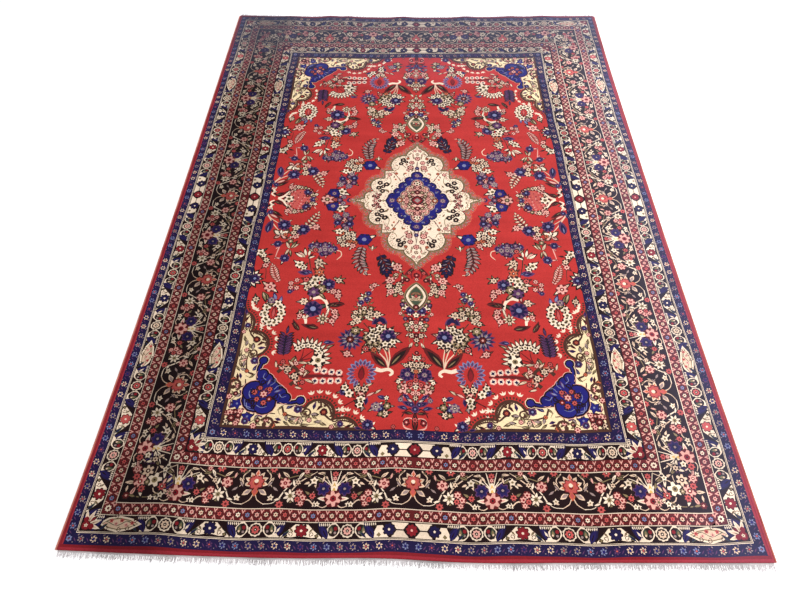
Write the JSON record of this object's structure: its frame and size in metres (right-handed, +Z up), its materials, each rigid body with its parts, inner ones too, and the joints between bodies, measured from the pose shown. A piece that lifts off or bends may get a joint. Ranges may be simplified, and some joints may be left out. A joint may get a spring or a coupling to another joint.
{
  "type": "persian rug",
  "caption": "Hand-knotted wool pile rug, lying flat, with corded side selvedges and a short cotton fringe at each end.",
  "frame": {"origin": "centre of the rug, on the floor that its underside rests on", "axes": "+X across the rug to its right side, +Y along its length from the front end to the back end, +Z up out of the pile"},
  "size_m": [2.5073, 3.5289, 0.0194],
  "materials": {
    "wool_pile": "cut wool pile, dyed madder red, navy and ivory",
    "selvedge_wool": "overcast wool cord, orange red",
    "fringe_cotton": "undyed cotton warp ends, off-white"
  },
  "bodies": {
    "root": {"pile_carpet": "wool_pile", "selvedge_left": "selvedge_wool", "selvedge_right": "selvedge_wool", "fringe_front": "fringe_cotton", "fringe_back": "fringe_cotton"}
  },
  "joints": []
}
